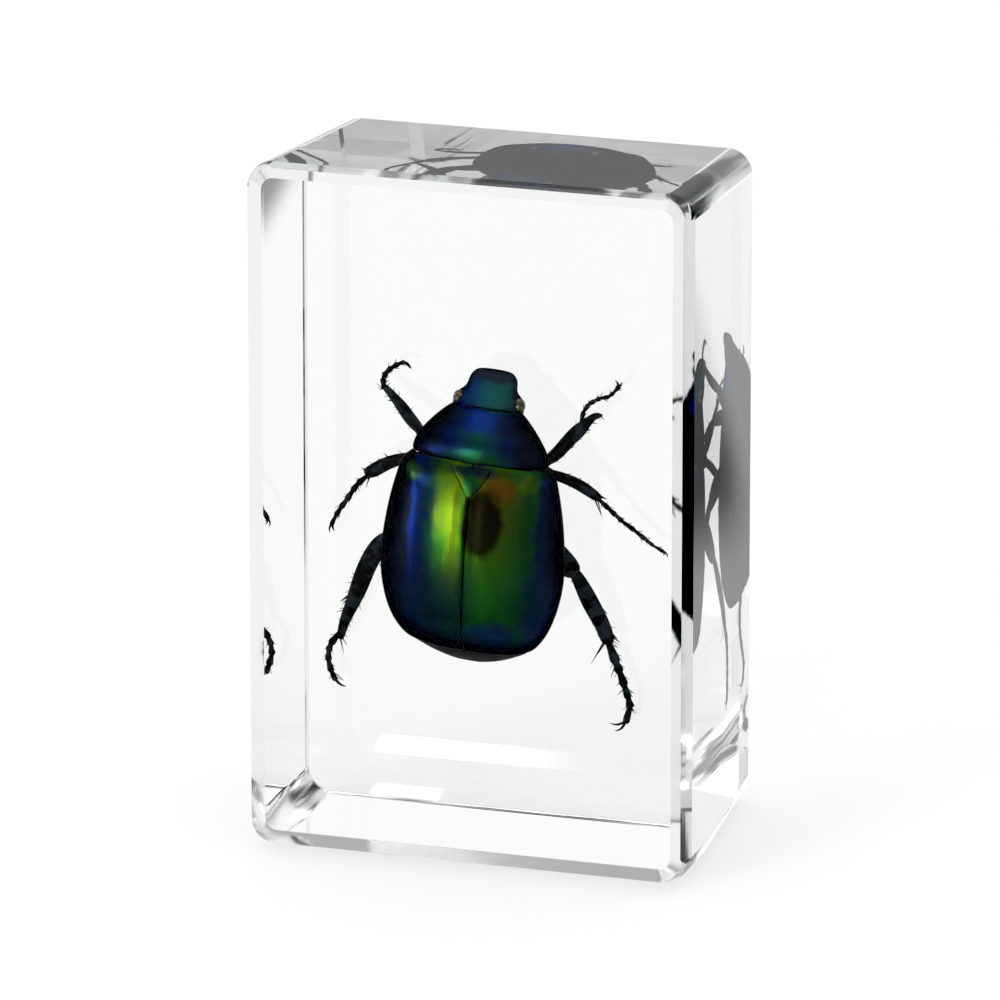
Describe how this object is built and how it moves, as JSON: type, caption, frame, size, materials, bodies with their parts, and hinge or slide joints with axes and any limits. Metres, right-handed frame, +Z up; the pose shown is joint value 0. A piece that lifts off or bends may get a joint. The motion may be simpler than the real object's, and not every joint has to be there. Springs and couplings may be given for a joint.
{
  "type": "insect in resin block",
  "caption": "Clear upright resin block with bevelled edges, a blue-green leaf chafer beetle cast inside with its legs spread.",
  "frame": {"origin": "middle of the base, on the surface that the block stands on", "axes": "+Z up along the block's long side; the large front face, which shows the beetle's back, faces -Y; +X is to the right of it"},
  "size_m": [0.0288, 0.0194, 0.0448],
  "materials": {
    "clear_resin": "water-clear cast resin, machined and polished, refractive index about 1.55",
    "beetle_shell": "hard iridescent shell, green and blue over near-black, with near-black legs"
  },
  "bodies": {
    "root": {"resin_front": "clear_resin", "resin_back": "clear_resin", "beetle": "beetle_shell"}
  },
  "joints": []
}
